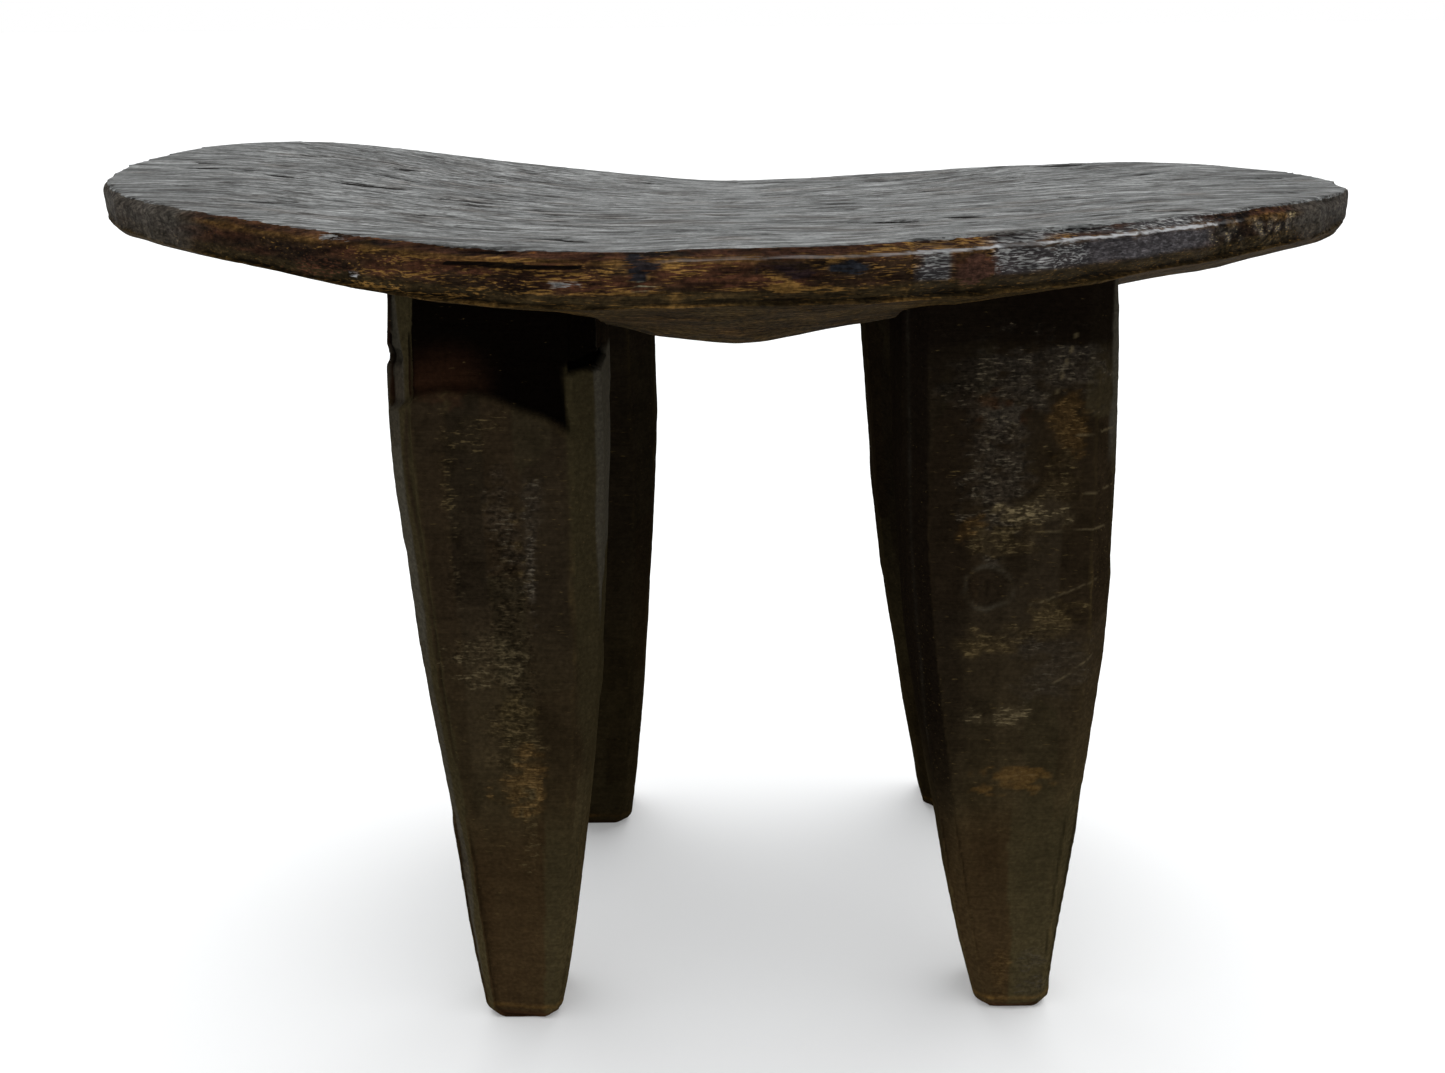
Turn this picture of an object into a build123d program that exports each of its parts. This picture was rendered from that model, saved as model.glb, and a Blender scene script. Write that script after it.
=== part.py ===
"""Monoxyl headrest stool: a dished oval seat carried on four stout tapering legs.

The real object is carved from a single block of hardwood.  It is modelled as its
five carved members, which meet face to face where the legs grow out of the underside
of the seat.  Millimetres, +Z up, +X along the seat, the floor at Z = 0, and the origin
on the floor under the middle of the seat.
"""
from build123d import *

import math
import os

# ---------------------------------------------------------------- seat dimensions
SEAT_LENGTH = 560.0        # tip to tip, along X
SEAT_WIDTH = 242.0         # across the middle, along Y
OUTLINE_POWER = 2.06       # 2 is an ellipse, larger is squarer
OUTLINE_EGG = 0.05         # the left half is this share wider, the right half narrower
END_SHARE = 0.995          # the oval is cut off at this share of its half length, a blunt tip

DIP_HEIGHT = 362.0         # mean height of the rims at the middle of the seat
DISH = 2.0                 # how far the middle of the top lies under the line of the rims
RISE_LEFT = 19.0           # how far the top climbs towards the left tip
RISE_RIGHT = 9.5
CURVE_LEFT = 1.4           # above 1 the climb is held back towards the tip
CURVE_RIGHT = 1.05
CREST_SHARE = 0.90         # the climb is complete at this share of the half length
TILT_LEFT = 13.0           # hand-carved twist: the rear rim runs higher than the front one
TILT_RIGHT = 4.0

RIM_BAND = 23.0            # height of the upright rim at the middle
RIM_BAND_LOSS = 10.0       # how much thinner the rim is at the tips
RIM_BEVEL_DROP = 4.0       # narrow bevel worked along the top edge of the rim
RIM_BEVEL_RUN = 4.5
KEEL_HEIGHT = 304.0        # lowest point of the underside
KEEL_RISE_LEFT = 49.0      # climb of the keel line to each tip
KEEL_RISE_RIGHT = 41.0
KEEL_CURVE = 0.96
FLANK_RUN = 0.55           # the flank breaks at this share of the half width
FLANK_DROP = 0.72          # and has dropped this share of the way to the keel
STATIONS = 8               # loft stations on each side of the middle

# ----------------------------------------------------------------- leg dimensions
FOOT_HEIGHT = 4.0          # height of the small worn bevel around each foot
FOOT_INSET = 2.0           # and how far it runs in under the foot
CORNER_SHARE = 0.17        # corner facet, as a share of the narrower side of the leg

# One row per height: height, left side, right side, front face, back face.
LEG_FRONT_LEFT = [
    (FOOT_HEIGHT, -118.0, -81.0, -114.5, -75.0),
    (60.0, -125.0, -71.5, -113.0, -64.0),
    (130.0, -131.5, -63.0, -111.5, -54.0),
    (210.0, -138.0, -56.0, -110.0, -45.0),
    (280.0, -141.0, -53.5, -108.5, -39.0),
    (350.0, -138.5, -52.0, -107.0, -36.0),
]
LEG_FRONT_RIGHT = [
    (FOOT_HEIGHT, 114.0, 150.0, -110.0, -72.0),
    (60.0, 101.0, 155.5, -108.0, -62.0),
    (130.0, 87.5, 161.5, -105.5, -53.0),
    (210.0, 76.5, 165.0, -103.0, -45.0),
    (280.0, 72.0, 164.0, -100.0, -39.0),
    (350.0, 69.0, 159.0, -97.0, -36.0),
]
LEG_REAR_LEFT = [
    (FOOT_HEIGHT, -96.5, -59.0, 59.0, 99.0),
    (60.0, -107.0, -51.5, 54.0, 104.0),
    (130.0, -116.0, -46.0, 49.0, 107.5),
    (210.0, -122.0, -40.5, 43.0, 109.0),
    (280.0, -125.0, -38.5, 38.0, 109.0),
    (350.0, -125.0, -37.5, 35.0, 108.0),
]
LEG_REAR_RIGHT = [
    (FOOT_HEIGHT, 113.0, 149.0, 74.0, 110.0),
    (60.0, 102.0, 154.0, 66.0, 109.5),
    (130.0, 89.0, 158.5, 58.0, 108.0),
    (210.0, 78.0, 160.0, 49.0, 105.0),
    (280.0, 70.5, 158.0, 42.0, 102.0),
    (350.0, 66.0, 153.0, 37.0, 98.0),
]


# ----------------------------------------------------------------------- the seat
def half_width(u):
    """Half the seat width at the share u of the half length."""
    outline = (1.0 - abs(u) ** OUTLINE_POWER) ** (1.0 / OUTLINE_POWER)
    return SEAT_WIDTH / 2 * outline * (1.0 - OUTLINE_EGG * u)


def climb(u):
    """Share of the climb from the dip of the seat to its crest."""
    reach = min(abs(u) / CREST_SHARE, 1.0)
    return math.sin(math.pi / 2 * reach) ** 2


def rim_heights(u):
    """Heights of the front and rear rims: a saddle, tilted a little across its width."""
    if u < 0:
        rise, curve, tilt = RISE_LEFT, CURVE_LEFT, TILT_LEFT
    else:
        rise, curve, tilt = RISE_RIGHT, CURVE_RIGHT, TILT_RIGHT
    mean = DIP_HEIGHT + rise * climb(u) ** curve
    lean = tilt * abs(u) * half_width(u) / (SEAT_WIDTH / 2)
    return mean - lean, mean + lean


def keel_height(u):
    rise = KEEL_RISE_LEFT if u < 0 else KEEL_RISE_RIGHT
    return KEEL_HEIGHT + rise * abs(u) ** KEEL_CURVE


def seat_section(u):
    """Cross-section of the seat: top, rim bevels, upright rims, flanks and keel."""
    w = half_width(u)
    run = min(RIM_BEVEL_RUN, 0.3 * w)
    band = RIM_BAND - RIM_BAND_LOSS * abs(u) ** 3
    front, rear = rim_heights(u)
    keel = keel_height(u)
    front_low = front - band
    rear_low = rear - band
    x = u / END_SHARE * SEAT_LENGTH / 2
    front_edge = Vector(x, -w + run, front)
    rear_edge = Vector(x, w - run, rear)
    middle = Vector(x, 0.0, (front + rear) / 2 - DISH * w / (SEAT_WIDTH / 2))
    around = [
        (w, rear - RIM_BEVEL_DROP),
        (w, rear_low),
        (w * FLANK_RUN, rear_low + FLANK_DROP * (keel - rear_low)),
        (0.0, keel),
        (-w * FLANK_RUN, front_low + FLANK_DROP * (keel - front_low)),
        (-w, front_low),
        (-w, front - RIM_BEVEL_DROP),
    ]
    top = ThreePointArc(front_edge, middle, rear_edge)
    rest = Polyline(rear_edge, *[Vector(x, y, z) for y, z in around], front_edge)
    return make_face(top + rest)


def build_seat():
    """Smooth loft through stations that crowd together towards the rounded tips."""
    last = math.asin(END_SHARE)
    shares = [math.sin(last * i / STATIONS) for i in range(-STATIONS, STATIONS + 1)]
    return loft([seat_section(u) for u in shares])


# ----------------------------------------------------------------------- the legs
def leg_section(z, left, right, front, back, inset=0.0):
    """Eight-sided cross-section of a leg: four broad sides and four corner facets."""
    cut = CORNER_SHARE * min(right - left, back - front)
    x0, x1 = left + inset, right - inset
    y0, y1 = front + inset, back - inset
    points = [
        (x0 + cut, y0),
        (x1 - cut, y0),
        (x1, y0 + cut),
        (x1, y1 - cut),
        (x1 - cut, y1),
        (x0 + cut, y1),
        (x0, y1 - cut),
        (x0, y0 + cut),
    ]
    corners = [Vector(x, y, z) for x, y in points]
    return make_face(Polyline(*corners, close=True))


def build_leg(rows, seat):
    """Lofted leg with a worn bevel under the foot, trimmed to the seat's underside."""
    sole_row = (0.0,) + tuple(rows[0][1:])
    sole = leg_section(*sole_row, inset=FOOT_INSET)
    foot = loft([sole, leg_section(*rows[0])], ruled=True)
    shaft = loft([leg_section(*row) for row in rows])
    return (foot + shaft) - seat


seat = build_seat()
parts = {
    "seat": seat,
    "leg_front_left": build_leg(LEG_FRONT_LEFT, seat),
    "leg_front_right": build_leg(LEG_FRONT_RIGHT, seat),
    "leg_rear_left": build_leg(LEG_REAR_LEFT, seat),
    "leg_rear_right": build_leg(LEG_REAR_RIGHT, seat),
}

os.makedirs("parts", exist_ok=True)
for name, shape in parts.items():
    export_step(shape, f"parts/{name}.step")
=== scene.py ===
"""Looks for the carved headrest stool: sculpted wood meshes, wood shaders, light and camera.

Lengths in the carving code are millimetres; they become metres when a mesh is written.
"""

import math

import bmesh
import bpy
import numpy as np
from mathutils import Matrix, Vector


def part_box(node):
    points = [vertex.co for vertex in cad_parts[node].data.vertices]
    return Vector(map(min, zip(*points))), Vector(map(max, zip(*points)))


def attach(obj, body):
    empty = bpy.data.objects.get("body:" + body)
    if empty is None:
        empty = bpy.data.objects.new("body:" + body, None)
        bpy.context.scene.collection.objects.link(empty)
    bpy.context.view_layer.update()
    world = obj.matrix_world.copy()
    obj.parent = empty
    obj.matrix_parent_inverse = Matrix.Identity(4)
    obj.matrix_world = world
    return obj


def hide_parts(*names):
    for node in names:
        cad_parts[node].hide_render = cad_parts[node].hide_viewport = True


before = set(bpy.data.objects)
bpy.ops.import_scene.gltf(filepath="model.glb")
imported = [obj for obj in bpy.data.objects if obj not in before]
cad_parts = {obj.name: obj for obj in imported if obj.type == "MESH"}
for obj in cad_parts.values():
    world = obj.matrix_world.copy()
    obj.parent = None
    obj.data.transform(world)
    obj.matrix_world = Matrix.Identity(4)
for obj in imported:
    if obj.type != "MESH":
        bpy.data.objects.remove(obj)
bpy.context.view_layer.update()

MM = 0.001
SEAT_STEP, SEAT_STRETCH = 1.25, 2.3      # mesh size across the grain, and how much longer along it
LEG_STEP, LEG_STRETCH = 1.05, 1.5
SEAT_LOW, SEAT_HIGH = (np.array(corner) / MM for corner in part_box("seat"))
HALF_LENGTH = (SEAT_HIGH[0] - SEAT_LOW[0]) / 2
HALF_WIDTH = (SEAT_HIGH[1] - SEAT_LOW[1]) / 2


# -------- colours
def paint(red, green, blue):
    """An 8-bit display colour as linear light."""
    values = np.array([red, green, blue]) / 255.0
    return np.where(values <= 0.04045, values / 12.92, ((values + 0.055) / 1.055) ** 2.4)


# near black: soot, cracks and dark grain, and also painted shade under the seat and on faces turned away
SOOT_AND_SHADE = paint(18, 13, 9)
BLACK_BROWN = paint(34, 25, 17)
DARK_BROWN = paint(58, 43, 29)
RED_BROWN = paint(86, 54, 37)
OLIVE_BROWN = paint(76, 63, 38)
OCHRE = paint(150, 112, 58)
ORANGE = paint(150, 92, 46)
STRAW = paint(178, 158, 118)
GREY_BROWN = paint(92, 86, 78)
SLATE = paint(76, 73, 75)
BLUE_BLACK = paint(38, 41, 47)
ASH = paint(150, 150, 148)
PALE = paint(205, 206, 208)
# the top's colours: weathered grey wood, its light grey lightened by painted sheen
TOP_DARK = paint(48, 44, 41)
TOP_LIGHT = paint(114, 115, 114)
TOP_BROWN = paint(72, 60, 50)
# the legs' colour high up and low down: darker above partly from soot, partly painted shade under the seat
LEG_UPPER = paint(41, 34, 24)
LEG_LOWER = paint(55, 46, 29)
# pale ashen grey: the wood's own pale marks, and also painted sheen on side facets and strips
LEG_ASH_AND_SHEEN = paint(64, 60, 51)
LEG_RUSTY = paint(54, 40, 24)
LEG_MOSSY = paint(59, 52, 34)
RIM_TONE = 0.70            # darkens the rim's paints together
RISE_SPAN = 24.0           # height in mm that the field rise covers from 0 to 1, arris at a half


# -------- fields
def smoothstep(low, high, value):
    t = np.clip((value - low) / (high - low), 0.0, 1.0)
    return t * t * (3.0 - 2.0 * t)


def window(value, low, high, soft):
    """1 between low and high, falling to 0 over a soft edge on both sides."""
    return smoothstep(low - soft, low + soft, value) * smoothstep(high + soft, high - soft, value)


def bell(value, middle, width):
    """1 where the value is at the middle, falling to 0 on both sides."""
    return np.exp(-(((value - middle) / width) ** 2))


def mix(first, second, share):
    """Blend of two colours, or of a colour for each vertex, by a share for each vertex."""
    return first + (second - first) * np.asarray(share)[:, None]


def hashed(cells, seed):
    """Repeatable random numbers from -1 to 1 for whole-number lattice points."""
    h = cells[:, 0] * 73856093 ^ cells[:, 1] * 19349663 ^ cells[:, 2] * 83492791
    h = (h ^ (seed * 2654435761)) & 0xFFFFFFFF
    h = ((h ^ (h >> 13)) * 1274126177) & 0xFFFFFFFF
    h = h ^ (h >> 16)
    return (h & 0xFFFFFF) / 0x7FFFFF - 1.0


def noise(points, cell, seed):
    """Smooth noise from -1 to 1; cell is the size of a lump along x, y and z."""
    q = points / np.array(cell, dtype=float)
    base = np.floor(q).astype(np.int64)
    t = q - base
    t = t * t * t * (t * (t * 6.0 - 15.0) + 10.0)
    total = np.zeros(len(points))
    for corner in np.ndindex(2, 2, 2):
        weight = np.prod(np.where(corner, t, 1.0 - t), axis=1)
        total += weight * hashed(base + np.array(corner), seed)
    return total


def layered(points, cell, seed, layers=3, gain=0.5):
    """Noise with finer and weaker noise on top."""
    cell = np.array(cell, dtype=float)
    total = np.zeros(len(points))
    strength = 1.0
    for layer in range(layers):
        total += strength * noise(points, cell / 2.03 ** layer, seed + 17 * layer)
        strength *= gain
    return total / (2.0 - gain ** (layers - 1))


def scoops(points, cell, seed):
    """Shallow tool cuts meeting in ridges: about 0 in the middle of a cut, 1 on a ridge."""
    q = points / np.array(cell, dtype=float)
    base = np.floor(q).astype(np.int64)
    nearest = np.full(len(points), 9.0)
    for step in np.ndindex(3, 3, 3):
        corner = base + np.array(step) - 1
        jitter = np.stack([hashed(corner, seed + k) for k in range(3)], axis=1)
        away = corner + 0.5 + 0.4 * jitter - q
        distance = (away ** 2).sum(axis=1) + 0.15 * hashed(corner, seed + 3)
        nearest = np.minimum(nearest, distance)
    return np.clip(nearest, 0.0, 1.0)


def patch(points, centre, radii, ragged=0.0, seed=1):
    """A soft spot on a face that looks along y: centre and radii are x and z in mm."""
    wander = ragged * (noise(points, (8, 8, 5), seed) + 0.8 * noise(points, (3.2, 3.2, 1.8), seed + 1))
    away = ((points[:, 0] - centre[0]) / radii[0]) ** 2 + ((points[:, 2] - centre[1]) / radii[1]) ** 2
    return smoothstep(1.15, 0.1, away + wander)


def stroke(points, start, end, width):
    """A thin mark between two places on a face that looks along y, tapering to its ends."""
    start, end = np.array(start, dtype=float), np.array(end, dtype=float)
    flat = points[:, [0, 2]]
    run = end - start
    share = np.clip((flat - start) @ run / (run @ run), 0.0, 1.0)
    away = np.linalg.norm(flat - start - share[:, None] * run, axis=1)
    half = width * (0.35 + 0.65 * np.sin(np.pi * share) ** 0.5)
    return smoothstep(1.0, 0.3, away / half)


# -------- mesh work
class Carving:
    """A dense closed mesh grown from a CAD node, with fields of one value per vertex."""

    def __init__(self, node, step, stretch):
        self.node = node
        self.object = dense_copy(node, step, stretch)
        mesh = self.object.data
        self.points = np.zeros(len(mesh.vertices) * 3)
        mesh.vertices.foreach_get("co", self.points)
        self.points = self.points.reshape(-1, 3) / MM
        edges = np.zeros(len(mesh.edges) * 2, dtype=np.int64)
        mesh.edges.foreach_get("vertices", edges)
        self.edges = edges.reshape(-1, 2)
        self.refresh()

    def refresh(self):
        """Writes the points to the mesh and reads its normals back."""
        mesh = self.object.data
        mesh.vertices.foreach_set("co", (self.points * MM).ravel())
        mesh.update()
        normals = np.zeros(len(mesh.vertices) * 3)
        mesh.vertex_normals.foreach_get("vector", normals)
        self.normals = normals.reshape(-1, 3)

    def average(self, values):
        """Mean of each vertex's neighbours."""
        count = len(self.points)
        a, b = self.edges.T
        columns = values.reshape(count, -1)
        total = np.zeros_like(columns)
        for k in range(columns.shape[1]):
            total[:, k] = np.bincount(a, columns[b, k], count) + np.bincount(b, columns[a, k], count)
        near = np.bincount(a, minlength=count) + np.bincount(b, minlength=count)
        return (total / near[:, None]).reshape(values.shape)

    def smooth(self, rounds):
        for _ in range(rounds):
            self.points = 0.5 * self.points + 0.5 * self.average(self.points)
        self.refresh()

    def push(self, distance):
        """Moves each vertex along its normal, outwards for a positive distance."""
        self.points = self.points + self.normals * distance[:, None]
        self.refresh()

    def shave(self, spot, direction, reach):
        """Cuts away what stands outside a plane through a spot, out to a reach."""
        direction = direction / np.linalg.norm(direction)
        height = (self.points - spot) @ direction
        away = np.linalg.norm(self.points - spot, axis=1)
        cut = np.clip(height, 0.0, None) * smoothstep(reach, 0.75 * reach, away)
        self.points = self.points - np.outer(cut, direction)

    def sharpness(self, rounds):
        """Positive on edges and ridges, negative in hollows, in mm."""
        smoothed = self.points
        for _ in range(rounds):
            smoothed = self.average(smoothed)
        return ((self.points - smoothed) * self.normals).sum(axis=1)

    def finish(self, looks, slot, material):
        """Stores the looks fields, gives the material and puts the piece into the frame."""
        mesh = self.object.data
        for name, values in looks.items():
            values = np.clip(values, 0.0, 1.0)
            if values.ndim == 2:
                layer = mesh.attributes.new(name, "FLOAT_COLOR", "POINT")
                layer.data.foreach_set("color", np.insert(values, 3, 1.0, axis=1).ravel())
            else:
                layer = mesh.attributes.new(name, "FLOAT", "POINT")
                layer.data.foreach_set("value", values)
        mesh.materials.clear()
        mesh.materials.append(material)
        mesh.shade_smooth()
        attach(self.object, "root")
        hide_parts(self.node)


def dense_copy(node, step, stretch):
    """A copy of a CAD node as one mesh of small faces, longer along x than across it."""
    rough = bpy.data.objects.new("blank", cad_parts[node].data.copy())
    bpy.context.scene.collection.objects.link(rough)
    rough.data.transform(Matrix.Diagonal((1 / stretch, 1, 1, 1)))
    work = bmesh.new()
    work.from_mesh(rough.data)
    bmesh.ops.remove_doubles(work, verts=work.verts, dist=0.00001)
    work.to_mesh(rough.data)
    work.free()
    remesh = rough.modifiers.new("even", "REMESH")
    remesh.mode = "VOXEL"
    remesh.voxel_size = step * MM
    graph = bpy.context.evaluated_depsgraph_get()
    mesh = bpy.data.meshes.new_from_object(rough.evaluated_get(graph))
    mesh.transform(Matrix.Diagonal((stretch, 1, 1, 1)))
    bpy.data.objects.remove(rough)
    piece = bpy.data.objects.new("carved_" + node, mesh)
    bpy.context.scene.collection.objects.link(piece)
    return piece


# -------- the seat
# Open checks and pits in the top: start x, y, end x, y, width, depth.
TOP_CHECKS = [
    (-256, 12, -227, 8, 2.4, 2.2),
    (-252, 21, -237, 20, 2.2, 2.0),
    (-246, 4, -222, 3, 2.0, 1.4),
    (-213, 3, -193, -3, 2.2, 1.8),
    (-184, -2, -144, 2, 3.0, 3.0),
    (-166, 43, -148, 48, 2.2, 1.6),
    (-196, -47, -181, -45, 1.8, 1.2),
    (-141, -48, -116, -47, 2.2, 1.9),
    (-131, 44, -108, 54, 2.0, 1.4),
    (-84, -85, -53, -90, 2.6, 1.9),
    (-70, -26, -29, -28, 2.2, 1.7),
    (-60, -65, -36, -65, 1.6, 1.0),
    (-14, 39, 15, 30, 1.8, 1.0),
    (31, 45, 55, 45, 1.8, 1.1),
    (45, 76, 70, 78, 1.8, 1.2),
    (44, -46, 87, -52, 2.8, 2.6),
    (84, -46, 119, -51, 2.0, 1.4),
    (88, 40, 114, 35, 2.2, 1.5),
    (130, 66, 150, 50, 2.2, 1.6),
    (156, 83, 186, 79, 5.5, 2.6),
    (164, -67, 177, -68, 1.8, 1.3),
    (180, -74, 196, -73, 1.8, 1.3),
]
SMALL_CHECKS = 170         # more fine ones, strewn over the top
CHECK_WIDENING = 1.2       # the listed widths are of the dark core
SEAT_SPREAD = 0.85         # the fine ones keep inside this share of the oval, squared

# Stains and rubbed places on the front rim: x, z, half width, half height, colour, strength.
FRONT_STAINS = [
    (-74, 361, 10, 2.2, ORANGE, 0.8),
    (-137, 365, 9, 2.0, ORANGE, 0.8),
    (-92, 357, 22, 1.6, OCHRE, 0.9),
    (-50, 352, 9, 2.6, OCHRE, 0.6),
    (-64, 348, 8, 1.6, ASH, 0.6),
    (-157, 364, 12, 1.5, ASH, 0.55),
    (-149, 350, 1.6, 1.2, PALE, 0.7),
    (-22, 356, 9, 2.6, OCHRE, 0.75),
    (-35.5, 355.0, 8.0, 4.6, BLUE_BLACK * 0.55, 1.0),
    (-35, 351.0, 5.0, 3.6, BLUE_BLACK * 0.6, 0.95),
    (-34, 346.5, 5, 2.6, paint(110, 108, 88), 0.6),
    (22, 354, 14, 4.5, paint(46, 33, 34), 0.85),
    (46, 354, 10, 3.4, BLUE_BLACK, 0.8),
    (41, 357, 5, 1.5, OCHRE, 0.8),
    (21, 346, 8, 2.2, OCHRE, 0.95),
    (34, 345, 14, 1.2, OCHRE, 0.8),
    (-145, 345, 20, 3.0, OCHRE, 0.55),
    (-118, 343, 30, 1.6, OCHRE, 0.5),
    (-165, 353, 16, 5.0, RED_BROWN, 0.5),
    (95, 352, 8.5, 7.0, paint(74, 50, 40), 0.9),
    (236, 365, 3.2, 1.4, STRAW, 0.8),
]


def check_lines():
    """The named checks, then many fine ones at seeded places."""
    rng = np.random.default_rng(7)
    lines = list(TOP_CHECKS)
    while len(lines) < len(TOP_CHECKS) + SMALL_CHECKS:
        x = rng.uniform(-0.92, 0.92) * HALF_LENGTH
        y = rng.uniform(-0.9, 0.9) * HALF_WIDTH
        length = rng.uniform(12, 42)
        slope = rng.uniform(-0.12, 0.12)
        width, depth = rng.uniform(1.1, 1.7), rng.uniform(0.3, 1.1)
        if (x / HALF_LENGTH) ** 2 + (y / HALF_WIDTH) ** 2 < SEAT_SPREAD:
            lines.append((x, y, x + length, y + slope * length, width, depth))
    return lines


def check_depth(points):
    """Depth of the checks at each point, seen from above."""
    depth_field = np.zeros(len(points))
    for x0, y0, x1, y1, width, depth in check_lines():
        middle = np.array([(x0 + x1) / 2, (y0 + y1) / 2])
        length = math.hypot(x1 - x0, y1 - y0)
        near = np.abs(points[:, 0] - middle[0]) < length / 2 + 6
        near &= np.abs(points[:, 1] - middle[1]) < length / 4 + width + 4
        local = points[near]
        along_axis = np.array([x1 - x0, y1 - y0]) / length
        offset = local[:, :2] - middle
        along = offset @ along_axis / (length / 2)
        across = offset @ np.array([-along_axis[1], along_axis[0]])
        across = across + 0.9 * noise(local, (9, 40, 900), 31)
        reach = np.clip(1.0 - np.abs(along) ** 1.6, 0.0, 1.0) ** 0.7
        half = 0.5 * CHECK_WIDENING * width * reach * (1.0 + 0.35 * noise(local, (5, 30, 900), 32)) + 0.01
        groove = depth * reach * bell(across, 0.0, half)
        depth_field[near] = np.maximum(depth_field[near], groove)
    return depth_field


SHORTEST_FACET, LONGEST_FACET = 17, 44   # adze planes round the rim, in mm
RIM_BINS = 220                           # places round the rim where its edges are measured
MISSING = 1e9


def rim_places(points):
    """Distance round the oval in mm, its total, and the angle of each point."""
    turn = np.linspace(-math.pi, math.pi, 721)
    outline = np.stack([HALF_LENGTH * np.cos(turn), HALF_WIDTH * np.sin(turn)], axis=1)
    steps = np.linalg.norm(np.diff(outline, axis=0), axis=1)
    run = np.concatenate([[0.0], np.cumsum(steps)])
    angle = np.arctan2(points[:, 1] / HALF_WIDTH, points[:, 0] / HALF_LENGTH)
    return np.interp(angle, turn, run), run[-1], angle


def rim_facets(points):
    """Adze planes round the rim: how far through each, its length, its number, and the angle."""
    place, total, angle = rim_places(points)
    rng = np.random.default_rng(11)
    bounds = [0.0]
    while bounds[-1] < total - LONGEST_FACET - 2:
        bounds.append(bounds[-1] + rng.uniform(SHORTEST_FACET, LONGEST_FACET))
    bounds[-1] = total
    bounds = np.array(bounds)
    wander = place + 1.6 * noise(points, (14, 14, 14), 61)
    index = np.clip(np.searchsorted(bounds, wander) - 1, 0, len(bounds) - 2)
    length = bounds[index + 1] - bounds[index]
    through = np.clip((wander - bounds[index]) / length, 0.0, 1.0)
    return through, length, index, angle


def rim_edges(seat):
    """Heights of the foot and of the upper arris of the upright rim, beside each vertex."""
    place, total, _ = rim_places(seat.points)
    upright = np.abs(seat.normals[:, 2]) < 0.4
    slot = np.minimum((place / total * RIM_BINS).astype(int), RIM_BINS - 1)
    foot, arris = np.full(RIM_BINS, MISSING), np.full(RIM_BINS, -MISSING)
    np.minimum.at(foot, slot[upright], seat.points[upright, 2])
    np.maximum.at(arris, slot[upright], seat.points[upright, 2])
    centres = (np.arange(RIM_BINS) + 0.5) * total / RIM_BINS
    edges = []
    for edge in (foot, arris):
        edge = np.where(np.abs(edge) < MISSING, edge, np.roll(edge, 1))
        edge = sum(np.roll(edge, k) for k in range(-3, 4)) / 7
        edges.append(np.interp(place, centres, edge, period=total))
    return edges


class SeatZones:
    """Which part of the seat each vertex is on, measured before the carving."""

    def __init__(self, seat):
        up = seat.normals[:, 2]
        self.top = smoothstep(0.80, 0.93, up)
        self.under = smoothstep(0.2, 0.5, -up)
        self.rim = np.clip(1.0 - self.top - self.under, 0.0, 1.0)
        foot, self.arris = rim_edges(seat)
        self.height = seat.points[:, 2] - foot
        self.bevel = smoothstep(0.2, 1.2, seat.points[:, 2] - self.arris) * self.rim
        self.front = seat.points[:, 1] < 0
        self.through, self.length, index, self.angle = rim_facets(seat.points)
        none = np.zeros_like(index)
        self.facet = hashed(np.stack([index, none + 1, none], axis=1), 8)
        wobble = seat.points[:, 0] + 3.0 * noise(seat.points, (9, 9, 5), 71)
        self.fibrous = self.front * (window(wobble, 73, 86, 2) + window(wobble, 104, 141, 3))
        self.smooth = self.front * window(wobble, 136, 196, 5)
        self.scaly = self.front * window(wobble, 197, 237, 4)
        self.tips = smoothstep(-212, -230, wobble) + smoothstep(232, 244, wobble)
        self.radius = np.hypot(seat.points[:, 0] / HALF_LENGTH, seat.points[:, 1] / HALF_WIDTH)
        self.checks = check_depth(seat.points) * self.top


def rim_relief(p, zones):
    """How far the upright rim stands out: flat facets, fibres, scales, a chamfered foot, a check."""
    bow = 1.0 - (2.0 * zones.through - 1.0) ** 2
    ellipse = (HALF_LENGTH * np.sin(zones.angle)) ** 2 + (HALF_WIDTH * np.cos(zones.angle)) ** 2
    radius = ellipse ** 1.5 / (HALF_LENGTH * HALF_WIDTH)
    chord = np.minimum(zones.length ** 2 / (8.0 * radius), 2.2)
    facets = -chord * bow + 0.3 * zones.facet - 0.25 * bow
    fibres = 0.26 * noise(p, (30, 30, 4.5), 6) + 0.16 * noise(p, (16, 16, 2.4), 8)
    waves = 0.42 * noise(p + [[0, 0, 1.5]] * noise(p, (18, 18, 30), 75)[:, None], (46, 46, 2.6), 76)
    scales = 0.5 * noise(p, (5, 5, 4.5), 77)
    side = facets + fibres * (1.0 - zones.fibrous - zones.smooth) + waves * zones.fibrous
    side += scales * zones.scaly
    strip = 5.2 + 0.8 * noise(p, (24, 24, 24), 12)
    side -= 1.7 * np.clip(1.0 - zones.height / strip, 0.0, 1.0) * (1.0 - zones.tips)
    # a long open check in the front, with a lip above it
    line = p[:, 2] - (354.8 - 0.03 * (p[:, 0] + 80) + 0.4 * noise(p, (12, 12, 12), 40))
    reach = window(p[:, 0], -112, -60, 5) * zones.front
    side -= reach * (1.5 * bell(line, 0.0, 0.8) - 0.7 * bell(line, 2.0, 1.4))
    return side


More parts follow.
